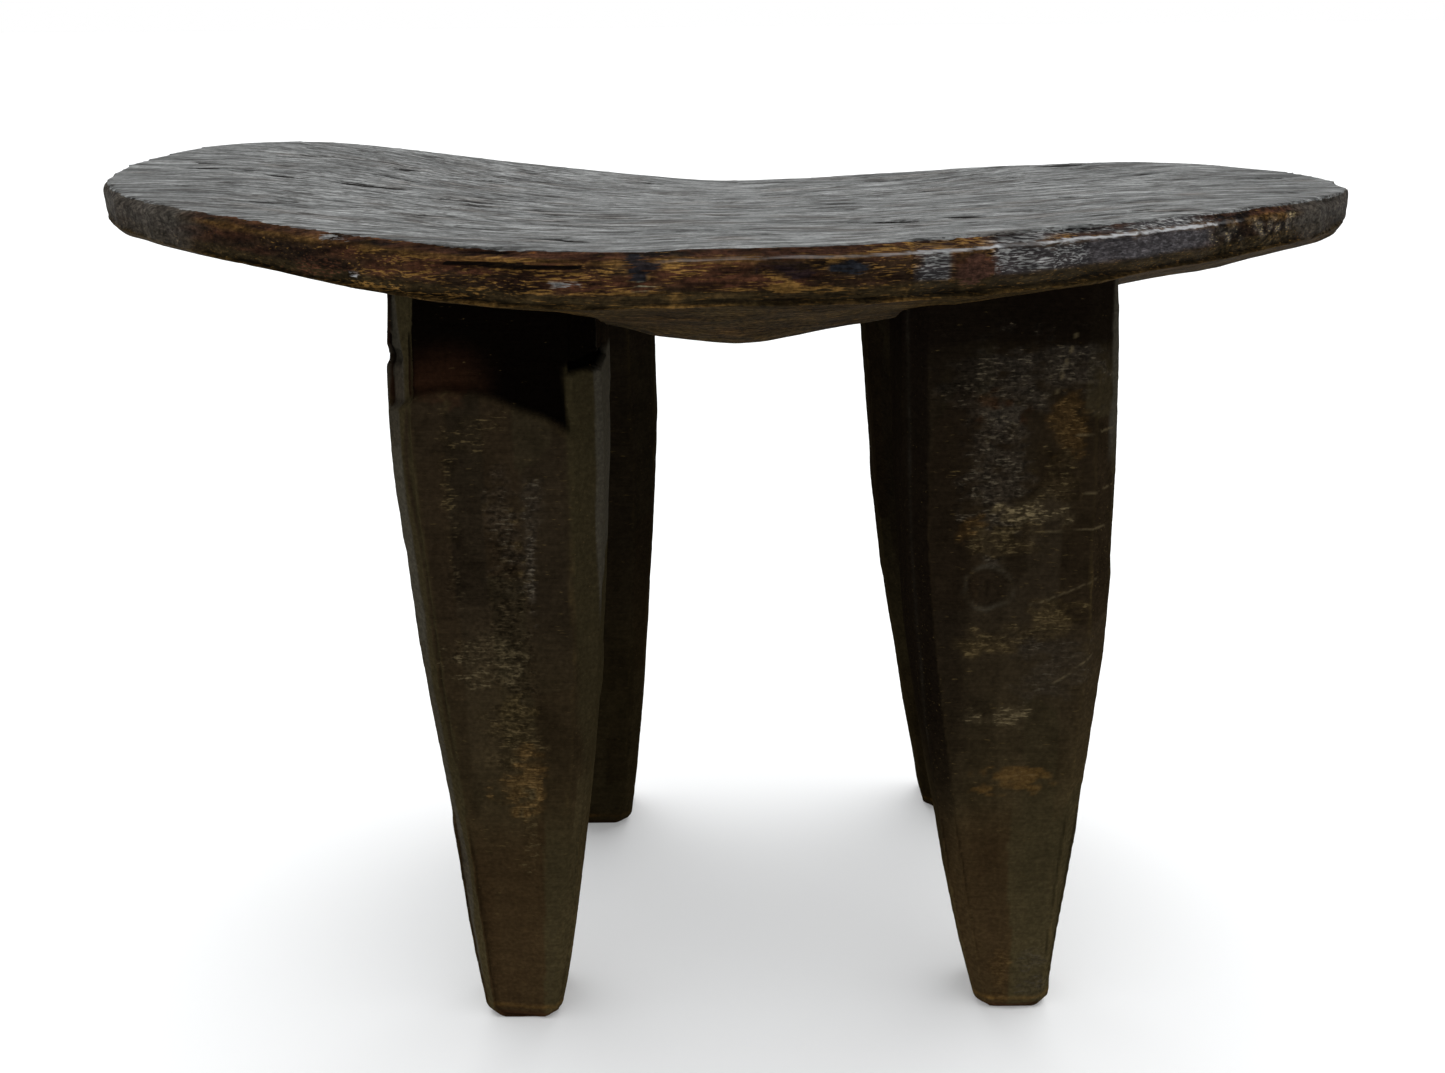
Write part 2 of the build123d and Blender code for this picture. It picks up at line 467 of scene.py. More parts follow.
def carve_seat():
    seat = Carving("seat", SEAT_STEP, SEAT_STRETCH)
    seat.smooth(1)
    zones = SeatZones(seat)
    p = seat.points
    top, under = zones.top, zones.under
    swell = 1.1 * noise(p, (95, 60, 400), 1) + 0.5 * noise(p, (45, 26, 400), 2)
    ripple = 0.27 * noise(p, (42, 7.5, 60), 3) + 0.22 * noise(p, (24, 4.2, 40), 4)
    ripple += 0.18 * noise(p, (15, 2.6, 40), 5)
    ripple *= smoothstep(1.0, 0.9, zones.radius)
    cuts = 1.5 * scoops(p, (30, 24, 24), 9) + 0.3 * noise(p, (26, 26, 26), 10)
    move = top * (swell + ripple) + zones.rim * rim_relief(p, zones)
    move += under * (cuts - 0.6 + 0.5 * swell) - zones.checks
    worn_edge = 4.0 * top * (1.0 - top)
    move -= worn_edge * np.clip(layered(p, (22, 22, 22), 14), 0.0, 1.0) * 1.4
    keel = np.clip(1.0 - np.abs(p[:, 0] - 3) / 50, 0.0, 1.0)
    keel *= np.clip(1.0 - (p[:, 1] / 105) ** 2, 0.0, 1.0)
    move += 3.0 * keel * under
    seat.push(move)
    return seat, zones


def colour_top(p):
    """Weathered grey, lightened by painted sheen, in soft clouds; the shader adds the thin streaks."""
    streak = layered(p, (26, 3.2, 40), 22, 2, 0.7)
    cloud = layered(p, (60, 30, 60), 23, 3)
    grey = mix(TOP_LIGHT * 0.72, TOP_LIGHT * 1.32, smoothstep(-0.5, 0.5, 0.7 * streak + 0.5 * cloud))
    brown = smoothstep(0.1, 0.7, layered(p, (26, 9, 30), 26))
    return mix(grey, TOP_BROWN * 1.3, brown * 0.4)


def lay_over(looks, mask, ground, mark, cover):
    """Another finish where a mask says: its ground colour, the mark on it and how much shows."""
    base, stain, shown = looks
    stain = mix(stain, mark, np.minimum(2.0 * mask, 1.0))
    return mix(base, ground, mask), stain, shown + (cover - shown) * mask


def colour_rim(p, zones, broad, strip):
    """Ground colour of the rim, the colour that shows through it, and how much of it shows."""
    x = p[:, 0]
    fine = layered(p, (13, 13, 1.9), 21, 2, 0.7)
    thin = layered(p, (18, 18, 3.0), 25, 2, 0.7)
    brown = mix(DARK_BROWN * 0.8, RED_BROWN * 0.95, smoothstep(-0.4, 0.3, broad + 0.5 * fine))
    brown = mix(brown, SOOT_AND_SHADE, smoothstep(0.0, 0.45, fine + 0.5 * noise(p, (34, 34, 9), 27)) * 0.75)
    cover = 0.28 + 0.34 * smoothstep(-0.1, 0.6, thin + 0.5 * layered(p, (44, 44, 9), 26))
    looks = brown, OCHRE * 0.85, cover * (1.0 - 0.65 * smoothstep(-140, -200, x))
    face = (1.0 - strip) * (1.0 - zones.bevel)
    shoulder = mix(RED_BROWN * 0.6, SOOT_AND_SHADE, smoothstep(0.0, 0.5, fine))
    rusty = zones.bevel * zones.front * window(x, 52, 142, 8)
    # pale flakes on the slate-grey bevel: painted highlights
    bevel_glints = zones.bevel * zones.front * window(x, 104, 204, 8) * smoothstep(-0.3, 0.2, broad)
    scale = smoothstep(-0.3, 0.5, layered(p, (3.4, 3.4, 4.2), 77, 2))
    scaly = zones.scaly * (1.0 - zones.bevel)
    husk = mix(BLACK_BROWN, GREY_BROWN * 1.2, scale)
    upright = 0.5 + 0.5 * layered(p, (4.5, 4.5, 40), 37)
    tip = mix(GREY_BROWN * 0.45, GREY_BROWN * 0.9, upright)
    for finish in (
        (zones.bevel * 0.9, shoulder, OCHRE * 0.7, 0.15),
        (rusty * 0.9, RED_BROWN * 0.6, OCHRE * 1.1, 0.6),
        (bevel_glints, SLATE * 0.7, ASH * 1.2, 0.55),
        (zones.smooth * face * 0.9, SLATE, SLATE * 1.9, 0.42),
        # pale flakes on the fibres: painted highlights, beside their real gloss
        (zones.fibrous * face * 0.9, SLATE * 0.7, ASH * 1.1, 0.5),
        (scaly * 0.9, husk, STRAW * 0.95, 0.62 * scale),
        (zones.tips * 0.9, tip, GREY_BROWN * 1.3, 0.2),
        (strip * 0.9 * (1.0 - 0.7 * zones.tips), OLIVE_BROWN * 0.5, OCHRE * 0.5, 0.25),
    ):
        looks = lay_over(looks, *finish)
    base, stain, cover = looks
    for sx, sz, wide, tall, colour, strength in FRONT_STAINS:
        spot = patch(p, (sx, sz), (wide, tall), 0.5, 33) * zones.front
        stain = mix(stain, colour, smoothstep(0.0, 0.25, spot))
        cover = np.maximum(cover, 1.1 * spot * strength)
    tone = RIM_TONE * (1.0 + 0.15 * zones.facet)[:, None]
    return base * tone, stain * tone, cover


def colour_seat(seat, zones):
    p = seat.points
    x, _, z = p.T
    sharp = seat.sharpness(5)
    broad = layered(p, (22, 22, 6), 24, 3)
    blotch = layered(p, (22, 16, 14), 28, 3)
    strip = smoothstep(6.5, 4.6, zones.height + 0.8 * noise(p, (24, 24, 24), 12))

    belly = mix(paint(46, 36, 18), paint(31, 23, 12), smoothstep(-0.3, 0.6, blotch))
    belly = mix(belly, OCHRE * 0.16, smoothstep(0.15, 0.6, layered(p, (30, 12, 8), 29)) * 0.5)
    rim, stain, cover = colour_rim(p, zones, broad, strip)
    beneath = smoothstep(0.3, 0.7, zones.under)
    colour = mix(rim, belly, beneath)
    stain = mix(stain, OCHRE * 0.26, beneath)
    cover = cover + (0.32 - cover) * beneath

    crack = stroke(p, (-112, 355.6), (-58, 354.2), 1.1) * zones.front * zones.rim
    middle = window(x, -115, 75, 15)
    broken = smoothstep(-0.3, 0.5, layered(p, (11, 11, 11), 41))
    near_foot = smoothstep(4.5, 3.5, zones.height) * (0.15 + 0.5 * middle) * broken
    near_arris = 0.4 * bell(z, zones.arris, 2.0)
    worn = smoothstep(0.10, 0.42, sharp + 0.12 * blotch) * (near_foot + near_arris)
    bare = mix(OCHRE * 0.6, GREY_BROWN * 0.8, zones.tips)
    colour = mix(colour, bare, worn)
    golden = bell(zones.height - 0.8 * broad, 5.6, 0.7) * zones.front * middle
    cover = np.maximum(cover, 0.75 * golden)
    stain = mix(stain, OCHRE * 0.6, golden)
    # darker in hollows: painted shade
    hollow = smoothstep(0.05, 0.40, -sharp)
    colour = colour * (1.0 - 0.55 * hollow)[:, None]
    crown = colour_top(p) * (1.0 - 0.45 * hollow)[:, None]

    bright = 0.16 * window(x, -24, 62, 8) + window(x, 60, 204, 10) * (0.45 + 0.45 * smoothstep(80, 110, x))
    glint = bright * zones.front * smoothstep(0.93, 0.96, zones.radius)
    gloss = 0.5 * zones.top + zones.rim * (0.3 + 0.6 * zones.fibrous + 0.4 * zones.smooth)
    gloss += 0.5 * glint * bell(z, zones.arris, 2.5) * zones.rim
    return {
        "patina": colour, "stain": stain, "cover": cover * (1.0 - worn),
        "crown": crown, "top": zones.top,
        "crack": np.maximum(zones.checks / 1.2, crack),
        "rise": 0.5 + (z - zones.arris) / RISE_SPAN, "glint": glint,
        "gloss": gloss, "fibre": 0.85 * zones.top + 0.95 * zones.rim + 0.6 * zones.under,
        "crumb": zones.rim * (0.3 + 0.35 * zones.scaly) * (1.0 - zones.fibrous) + 0.5 * zones.under,
    }


# -------- the legs
# Looks on the front faces of the two front legs:
# x, z, half width, half height, colour, strength, flecks of it, relief.
LEFT_PATCHES = [
    (-118, 306, 14, 9, RED_BROWN * 0.4, 0.8, 0.0, 0.0),
    (-117, 248, 3.5, 40, OLIVE_BROWN, 0.1, 0.46, 0.4),
    (-107, 284, 5, 12, OLIVE_BROWN, 0.1, 0.44, 0.3),
    (-96, 289, 5, 5, OLIVE_BROWN, 0.1, 0.44, 0.3),
    (-95, 230, 8, 32, GREY_BROWN * 0.45, 0.3, 0.42, 1.0),
    (-85, 232, 1.8, 28, GREY_BROWN * 0.8, 0.4, 0.55, 1.0),
    (-94, 178, 8, 42, BLACK_BROWN * 0.6, 0.7, 0.5, 1.0),
    (-108, 184, 14, 11, STRAW * 0.22, 0.2, 0.45, 0.8),
    (-112, 222, 12, 22, BLACK_BROWN * 0.6, 0.5, 0.2, 0.2),
    (-83, 254, 5, 10, GREY_BROWN * 0.5, 0.4, 0.45, 0.6),
    (-97, 146, 11, 16, OLIVE_BROWN * 0.9, 0.3, 0.55, 0.8),
    (-92, 124, 8, 16, OCHRE * 0.45, 0.6, 0.62, 0.7),
    (-104, 122, 6, 7, OCHRE * 0.4, 0.3, 0.55, 0.5),
    (-92, 98, 4, 18, OLIVE_BROWN, 0.1, 0.45, 0.3),
]
RIGHT_PATCHES = [
    (120, 306, 30, 14, GREY_BROWN * 0.5, 0.55, 0.45, 0.9),
    (98, 298, 9, 12, GREY_BROWN * 0.35, 0.5, 0.2, 0.5),
    (112, 290, 9, 6, RED_BROWN * 0.4, 0.8, 0.3, 0.6),
    (112, 262, 13, 28, GREY_BROWN * 0.5, 0.5, 0.5, 1.0),
    (140, 282, 7, 11, OCHRE * 0.34, 0.5, 0.45, 0.6),
    (137, 258, 9, 14, OLIVE_BROWN * 0.8, 0.3, 0.45, 0.6),
    (130, 245, 15, 5, STRAW * 0.4, 0.3, 0.62, 0.7),
    (104, 238, 6, 7, OCHRE * 0.42, 0.6, 0.55, 0.4),
    (118, 234, 14, 7, OLIVE_BROWN * 0.8, 0.4, 0.6, 0.4),
    (141, 198, 9, 11, OLIVE_BROWN * 1.3, 0.6, 0.5, 0.5),
    (109, 187, 15, 5, OLIVE_BROWN * 1.3, 0.6, 0.52, 0.5),
    (128, 190, 14, 5, OLIVE_BROWN * 0.9, 0.4, 0.5, 0.6),
    (140, 176, 14, 14, GREY_BROWN * 0.4, 0.4, 0.3, 0.3),
    (121, 152, 14, 4, STRAW * 0.35, 0.3, 0.6, 0.4),
    (126, 121, 15, 6, OCHRE * 0.36, 1.2, 0.35, 0.3),
    (125, 20, 4, 16, OCHRE * 0.35, 0.2, 0.5, 0.3),
    (140, 18, 6, 14, GREY_BROWN * 0.5, 0.2, 0.5, 0.3),
]
# Scratches on the front right leg: start x and z, end x and z, width.
SCRATCHES = [
    ((112, 238), (160, 239), 0.55),
    ((128, 205), (158, 216), 0.5),
    ((140, 168), (159, 182), 0.5),
    ((144, 280), (161, 281), 0.5),
    ((149, 255), (162, 256), 0.5),
    ((134, 296), (141, 322), 0.6),
]
# the arc under the seat on the front left leg: its x and z
LEFT_ARC = ((-140, -128, -118, -106, -92, -78, -66, -56), (293, 298, 301, 300, 296, 290, 282, 270))
# The line down each front foot where two planes meet: x and z at its foot and at its knee.
LOWER_RIDGES = {
    "leg_front_left": ((-89, 11), (-85, 102)),
    "leg_front_right": ((130, 11), (125, 97)),
}
RIDGE_SLOPE = 0.12
KNOT = (110, 213)          # x and z
KNOT_RADIUS = 9.3
DEEPEST_CUT = 0.8          # mm
ADZE_CUTS = 40
BURIED = 4.0               # how far a leg's top runs up into the seat, in mm
STRIPS = 15                # long cuts side by side round a leg
PATCH_STRENGTH = 0.42      # weakens the patches' paints together
REAR_TONE = 0.5            # darkens the rear legs, which stand in the seat's shade


def adze(leg, rng):
    """Flattens the shaft into long facets, each a plane close to the surface."""
    leg.refresh()
    start = leg.points
    upright = np.flatnonzero((np.abs(leg.normals[:, 2]) < 0.5) & (leg.points[:, 2] > 8))
    for _ in range(ADZE_CUTS):
        vertex = rng.choice(upright)
        outward = leg.normals[vertex] + rng.normal(0.0, 1.0, 3) * (0.03, 0.03, 0.008)
        spot = leg.points[vertex] - leg.normals[vertex] * rng.uniform(0.15, 0.6)
        leg.shave(spot, outward, rng.uniform(40, 80))
    moved = leg.points - start
    depth = np.linalg.norm(moved, axis=1)[:, None]
    leg.points = start + moved * np.minimum(1.0, DEEPEST_CUT / np.maximum(depth, 1e-9))


def strip_cuts(leg, seed):
    """Long cuts down the shaft: two random tones for each, and how far across it each vertex is."""
    x, y, z = leg.points.T
    axis_x, axis_y = (np.polyval(np.polyfit(z, side, 2), z) for side in (x, y))
    turn = np.arctan2(y - axis_y, x - axis_x) / (2.0 * math.pi) * STRIPS
    turn = turn + 0.42 * noise(leg.points, (34, 34, 110), seed + 20)
    column = np.floor(turn).astype(np.int64)
    flat = np.zeros_like(column)
    shift = 50.0 * hashed(np.stack([column, flat, flat], axis=1), seed + 21)
    level = np.floor((z + shift + 14.0 * noise(leg.points, (12, 12, 60), seed + 22)) / 95.0).astype(np.int64)
    cells = np.stack([column, level, flat], axis=1)
    return hashed(cells, seed + 23), hashed(cells, seed + 24), turn - column


def ridge_down(leg, places):
    """Turns the lower front face into two planes that meet on a line from foot to knee."""
    x, _, z = leg.points.T
    middle = np.interp(z, (places[0][1], places[1][1]), (places[0][0], places[1][0]))
    fade = smoothstep(118, 86, z) * smoothstep(-0.6, -0.85, leg.normals[:, 1])
    back = RIDGE_SLOPE * np.abs(x - middle) * fade
    leg.points = leg.points + np.outer(back, (0.0, 1.0, 0.0))
    leg.refresh()


def front_left_cuts(leg):
    """The step under the seat, the torn notch at the inner corner and the nick outside.

    Gives the height above the arc, on the face, and the share of the torn notch.
    """
    x, y, z = leg.points.T
    wander = 0.9 * noise(leg.points, (9, 9, 9), 402)
    above = z - np.interp(x, *LEFT_ARC) + wander
    face = smoothstep(-0.35, -0.75, leg.normals[:, 1])
    step = 2.6 * smoothstep(0, 3.5, above) * (1.0 - 0.5 * smoothstep(12, 45, above))
    corner = smoothstep(-68, -63, x + wander) * (y < -70)
    torn = window(z + 1.6 * wander, 309.5, 315.5, 0.8) * corner
    set_back = smoothstep(315, 317, z + 1.6 * wander) * corner
    nick = patch(leg.points, (-140, 315.5), (4.5, 4.5), 0.5, 404) * (y < -80)
    leg.push(-(step * face * (1.0 - corner) + 3.2 * torn + 2.0 * set_back + 1.8 * nick))
    return above * face, torn


def front_right_cuts(leg):
    """Rings of a knot, with a split in its middle; gives the distance from it."""
    p = leg.points
    face = smoothstep(-0.5, -0.8, leg.normals[:, 1])
    away = np.hypot((p[:, 0] - KNOT[0]) / 1.1, p[:, 2] - KNOT[1]) + 0.8 * noise(p, (6, 6, 6), 405)
    rings = 0.45 * bell(away, KNOT_RADIUS, 1.3) + 0.25 * bell(away, 5.6, 1.0)
    split = 0.8 * stroke(p, (110, 216), (109, 208), 1.2)
    leg.push(face * (rings - 0.25 * (away < 8) - split))
    return away


def set_in_seat(leg):
    """Runs the leg's top a little way into the seat, so that the two meet without a gap."""
    buried = smoothstep(0.15, 0.4, leg.normals[:, 2]) * (leg.points[:, 2] > 250)
    leg.points = leg.points + np.outer(buried, (0.0, 0.0, BURIED))


def carve_leg(node, seed):
    leg = Carving(node, LEG_STEP, LEG_STRETCH)
    leg.smooth(1)
    set_in_seat(leg)
    p = leg.points
    lean = 0.5 * noise(p, (60, 60, 45), seed)
    sway = 0.5 * noise(p, (60, 60, 45), seed + 1)
    leg.points = p + np.stack([lean, sway, 0 * lean], axis=1) * smoothstep(0, 25, p[:, 2])[:, None]
    adze(leg, np.random.default_rng(seed))
    leg.refresh()
    if node in LOWER_RIDGES:
        ridge_down(leg, LOWER_RIDGES[node])
    if node == "leg_front_left":
        swell = window(leg.points[:, 2], 150, 310, 40) * smoothstep(0.3, 0.9, -leg.normals[:, 0])
        leg.push(1.8 * swell)
    p = leg.points
    side = 1.0 - smoothstep(0.5, 0.8, np.abs(leg.normals[:, 2]))
    leg.tone, leg.hue, across = strip_cuts(leg, seed)
    bow = 1.0 - (2.0 * across - 1.0) ** 2
    relief = leg_patches(p, leg.normals, node)[2]
    torn = smoothstep(0.15, 0.7, layered(p, (26, 26, 60), seed + 8))
    leg.torn = torn * smoothstep(-0.2, 0.4, leg.normals[:, 1])
    relief = np.maximum(relief, 0.8 * leg.torn)
    rough = 0.55 * noise(p, (9, 9, 2.6), seed + 9) + 0.45 * noise(p, (4.5, 4.5, 5.5), seed + 10)
    fine = 0.14 * layered(p, (14, 14, 5), seed + 5) + 0.3 * noise(p, (20, 20, 34), seed + 6)
    chips = np.clip(layered(p, (8, 8, 8), seed + 7), 0.0, 1.0)
    fine = fine + (0.12 * leg.tone - 0.32 * bow) * smoothstep(0, 30, p[:, 2])
    leg.push(side * (fine + 1.1 * relief * rough - 0.4 * chips * smoothstep(6.0, 2.0, p[:, 2])))
    leg.points[:, 2] = np.maximum(leg.points[:, 2], 0.0)
    leg.refresh()
    return leg


def leg_patches(points, normals, node):
    """Colour of the listed patches, its share, their relief and how many flecks show."""
    lists = {"leg_front_left": LEFT_PATCHES, "leg_front_right": RIGHT_PATCHES}
    colour = np.zeros((len(points), 3))
    share, relief, fleck = (np.zeros(len(points)) for _ in range(3))
    face = smoothstep(-0.3, -0.7, normals[:, 1])
    for x, z, wide, tall, tone, strength, bare, bumpy in lists.get(node, ()):
        spot = patch(points, (x, z), (wide * 1.3, tall * 1.3), 0.75, int(abs(x) + z)) * face
        colour = mix(colour, tone, smoothstep(0.0, 0.4, spot))
        share = np.maximum(share, spot * strength * PATCH_STRENGTH)
        relief = np.maximum(relief, spot * bumpy)
        fleck = np.maximum(fleck, spot * bare)
    return colour, share, relief, fleck


def front_depth(leg):
    """How far behind the leg's front face each vertex lies, in mm."""
    y, z = leg.points[:, 1], leg.points[:, 2]
    front = leg.normals[:, 1] < -0.9
    return y - np.polyval(np.polyfit(z[front], y[front], 3), z)


def shaft_colour(leg, node, cloud, grime):
    """Dark above and lighter below, partly soot and partly painted shade under the seat, with a tone and a
    hue for each long cut.
    """
    x, _, z = leg.points.T
    colour = mix(LEG_UPPER, LEG_LOWER, smoothstep(215, 70, z + 35 * cloud))
    colour = mix(colour, LEG_MOSSY * 0.75, smoothstep(0.1, 0.8, leg.hue) * 0.4)
    colour = mix(colour, LEG_RUSTY * 0.5, smoothstep(-0.1, -0.8, leg.hue) * 0.35)
    colour = colour * (1.0 + 0.28 * grime + 0.22 * leg.tone)[:, None]
    # near black under the seat: painted shade of the seat, with soot
    colour = mix(colour, SOOT_AND_SHADE * 0.7, smoothstep(285, 330, z + 20 * cloud) * 0.75)
    if node in LOWER_RIDGES:
        (x_foot, z_foot), (x_knee, z_knee) = LOWER_RIDGES[node]
        side = x - np.interp(z, (z_foot, z_knee), (x_foot, x_knee)) + 1.2 * grime
        # the two lower planes in reddish and olive brown: partly their own hue, partly painted light and
        # shade of planes facing different ways
        low = smoothstep(125, 78, z + 22 * cloud) * smoothstep(-0.5, -0.8, leg.normals[:, 1])
        colour = mix(colour, LEG_RUSTY * 0.85, smoothstep(0.4, -0.4, side) * low * 0.7)
        colour = mix(colour, LEG_MOSSY * 0.85, smoothstep(-0.4, 0.4, side) * low * 0.7)
    return colour


def front_left_colour(leg, colour, cover, grime, special):
    """The shade above the arc, the two-strip chamfer with painted sheen on its outer strip, the facets
    inside and the torn notch.
    """
    above, torn = special
    x, _, z = leg.points.T
    wave = 1.6 * noise(leg.points, (30, 30, 34), 417) + 0.5 * noise(leg.points, (8, 8, 12), 418)
    depth = front_depth(leg) + wave
    left = smoothstep(-92, -112, x) * smoothstep(26, 4, above)
    shade = mix(SOOT_AND_SHADE * 0.3, RED_BROWN * 0.17, left)
    shaded = smoothstep(0, 4, above) * (1.0 - 0.25 * left)
    colour = mix(colour, shade, shaded)
    chamfer = smoothstep(0.3, 0.5, -leg.normals[:, 0])
    outer = smoothstep(4.6, 5.4, depth)
    colour = mix(colour, LEG_MOSSY * 0.85, chamfer * (1.0 - outer) * 0.8)
    # the outer strip of the left chamfer in pale grey: painted sheen from the side
    colour = mix(colour, LEG_ASH_AND_SHEEN * 1.05, chamfer * outer * (0.7 + 0.3 * leg.tone))
    colour = mix(colour, LEG_ASH_AND_SHEEN, chamfer * bell(depth, 5.0, 0.6) * 0.5)
    inner = smoothstep(-69, -66, x + grime) * smoothstep(60, 180, z) * smoothstep(314, 309, z)
    edge = smoothstep(-57.4, -56.6, x + wave)
    light = mix(LEG_MOSSY * 0.72, LEG_ASH_AND_SHEEN * 1.05, edge)
    colour = mix(colour, light, inner * 0.85)
    colour = mix(colour, SOOT_AND_SHADE * 0.1, smoothstep(0.2, 0.8, torn))
    return colour, cover * (1.0 - 0.8 * shaded)


def front_right_colour(leg, colour, grime, cloud, broken, from_knot):
    """Painted shade under the seat and on the left faces, thin light edges, a right strip with painted
    sheen, the knot and the scratches.
    """
    p, normals = leg.points, leg.normals
    x, _, z = p.T
    face = smoothstep(-0.3, -0.7, normals[:, 1])
    # near black along the top: painted shadow of the seat
    colour = mix(colour, SOOT_AND_SHADE * 0.7, smoothstep(316, 322, z + 3 * cloud) * 0.7)
    depth = front_depth(leg)
    # the faces turned left, towards the gap, darkened: painted shade
    left = smoothstep(0.3, 0.5, -normals[:, 0]) * smoothstep(80, 150, z)
    colour = mix(colour, SOOT_AND_SHADE * 0.8, left * 0.75)
    line = left * bell(depth, 7.0, 0.55)
    colour = mix(colour, LEG_ASH_AND_SHEEN * 0.75, line * (0.25 + 0.5 * broken))
    # the strip on the right in pale grey: painted sheen from the side
    right = smoothstep(0.3, 0.5, normals[:, 0]) * window(depth + 0.8 * grime, 5.6, 12.0, 0.8)
    colour = mix(colour, LEG_ASH_AND_SHEEN * 0.95, right * smoothstep(262, 282, z) * 0.75)
    dark = smoothstep(106, 96, x + 2 * grime) * smoothstep(60, 110, z)
    colour = mix(colour, SOOT_AND_SHADE, dark * 0.5)
    rings = bell(from_knot, KNOT_RADIUS, 1.1) * face * smoothstep(-0.6, 0.5, grime)
    colour = mix(colour, LEG_ASH_AND_SHEEN * 0.9, rings * 0.6)
    colour = mix(colour, BLACK_BROWN * 0.6, smoothstep(8.5, 6.5, from_knot) * 0.35 * face)
    bent = p + np.outer(noise(p, (9, 9, 9), 411), (0.0, 0.0, 0.7))
    for start, end, width in SCRATCHES:
        colour = mix(colour, STRAW * 0.3, stroke(bent, start, end, width) * face * 0.4)
    return colour


def colour_leg(leg, node, seed, special):
    """The looks fields of a leg; special is what its own cuts gave."""
    p, normals, z = leg.points, leg.normals, leg.points[:, 2]
    sharp = leg.sharpness(4)
    cloud = layered(p, (40, 40, 60), seed + 11, 4)
    grime = layered(p, (9, 9, 14), seed + 12, 4, 0.7)
    colour = shaft_colour(leg, node, cloud, grime)
    patches, share, relief, fleck = leg_patches(p, normals, node)
    colour = mix(colour, patches, share)
    stain = mix(OLIVE_BROWN, patches * 0.6 + STRAW * 0.08, smoothstep(0.0, 0.2, fleck))
    relief = np.maximum(relief, 0.8 * leg.torn)
    cover = np.maximum(0.8 * fleck, (0.1 + 0.1 * cloud + 0.4 * leg.torn) * smoothstep(310, 240, z))
    broken = smoothstep(0.0, 0.7, layered(p, (6, 6, 14), seed + 13))
    worn = smoothstep(0.08, 0.35, sharp) * smoothstep(320, 280, z)
    colour = mix(colour, OLIVE_BROWN * 0.9, worn * (0.1 + 0.5 * broken))
    toe = bell(z - 0.8 * grime, 6.0, 1.0) * (0.3 + 0.6 * broken)
    colour = mix(colour, RED_BROWN * 0.35, smoothstep(3.6, 2.0, z) * 0.6)
    colour = mix(colour, OCHRE * 0.45, toe * 0.8)
    if node == "leg_front_left":
        colour, cover = front_left_colour(leg, colour, cover, grime, special)
    if node == "leg_front_right":
        colour = front_right_colour(leg, colour, grime, cloud, broken, special)
    if node in LOWER_RIDGES:
        # paler towards the feet: painted light from the floor
        paler = 0.15 * smoothstep(140, 100, z) + 0.5 * smoothstep(85, 25, z)
        colour = colour * (1.0 + paler)[:, None]
    if "rear" in node:
        colour = colour * REAR_TONE
        stain = stain * REAR_TONE
    # darker in hollows: painted shade
    colour = colour * (1.0 - 0.3 * smoothstep(0.05, 0.35, -sharp))[:, None]
    gloss = 0.35 + 0.15 * cloud + 0.25 * relief
    return {
        "patina": colour, "stain": stain, "cover": cover,
        "gloss": gloss, "fibre": 0.5 + 0.45 * relief, "crumb": 0.1 + 0.4 * relief,
    }


# -------- wood shader
BUMP_HEIGHT = 0.0011       # m


class Nodes:
    """A node tree, with short calls that add nodes to it and join them up."""

    def __init__(self, tree):
        self.tree = tree
        self.place = self.new("TexCoord")

    def new(self, kind):
        return self.tree.nodes.new("ShaderNode" + kind)

    def feed(self, node, inputs):
        """Gives each input of a node a constant, or a link from another node's output."""
        for name, value in inputs.items():
            if isinstance(value, bpy.types.NodeSocket):
                self.tree.links.new(value, node.inputs[name])
            else:
                node.inputs[name].default_value = value

    def grain(self, long, wide, detail, warp=0.0):
        """Noise drawn out along X: lumps of the given length and width in mm."""
        scale = (1 / (long * MM), 1 / (wide * MM), 1 / (wide * MM))
        mapping, texture = self.new("Mapping"), self.new("TexNoise")
        self.feed(mapping, {"Vector": self.place.outputs["Object"], "Scale": scale})
        self.feed(texture, {"Vector": mapping.outputs["Vector"], "Scale": 1.0})
        self.feed(texture, {"Detail": detail, "Distortion": warp})
        return texture.outputs["Fac"]

    def spread(self, value, low, high, to_low, to_high):
        """Maps a range of a value onto another range."""
        node = self.new("MapRange")
        node.interpolation_type = "SMOOTHSTEP"
        self.feed(node, {0: value, 1: low, 2: high, 3: to_low, 4: to_high})
        return node.outputs["Result"]

    def combine(self, operation, first, second):
        """Arithmetic on two values, either of which may be a constant."""
        node = self.new("Math")
        node.operation = operation
        self.feed(node, {0: first, 1: second})
        return node.outputs["Value"]

    def add(self, first, second):
        return self.combine("ADD", first, second)

    def times(self, first, second):
        return self.combine("MULTIPLY", first, second)

    def field(self, name, output="Fac"):
        node = self.new("Attribute")
        node.attribute_name = name
        return node.outputs[output]

    def blend(self, share, first, second):
        """Blend of two colours, the second of which may be a constant."""
        if isinstance(second, np.ndarray):
            second = (*second, 1.0)
        node = self.new("Mix")
        node.data_type = "RGBA"
        self.feed(node, {"Factor": share, "A": first, "B": second})
        return node.outputs["Result"]

    def scale(self, colour, factor):
        node = self.new("VectorMath")
        node.operation = "SCALE"
        self.feed(node, {"Vector": colour, "Scale": factor})
        return node.outputs["Vector"]


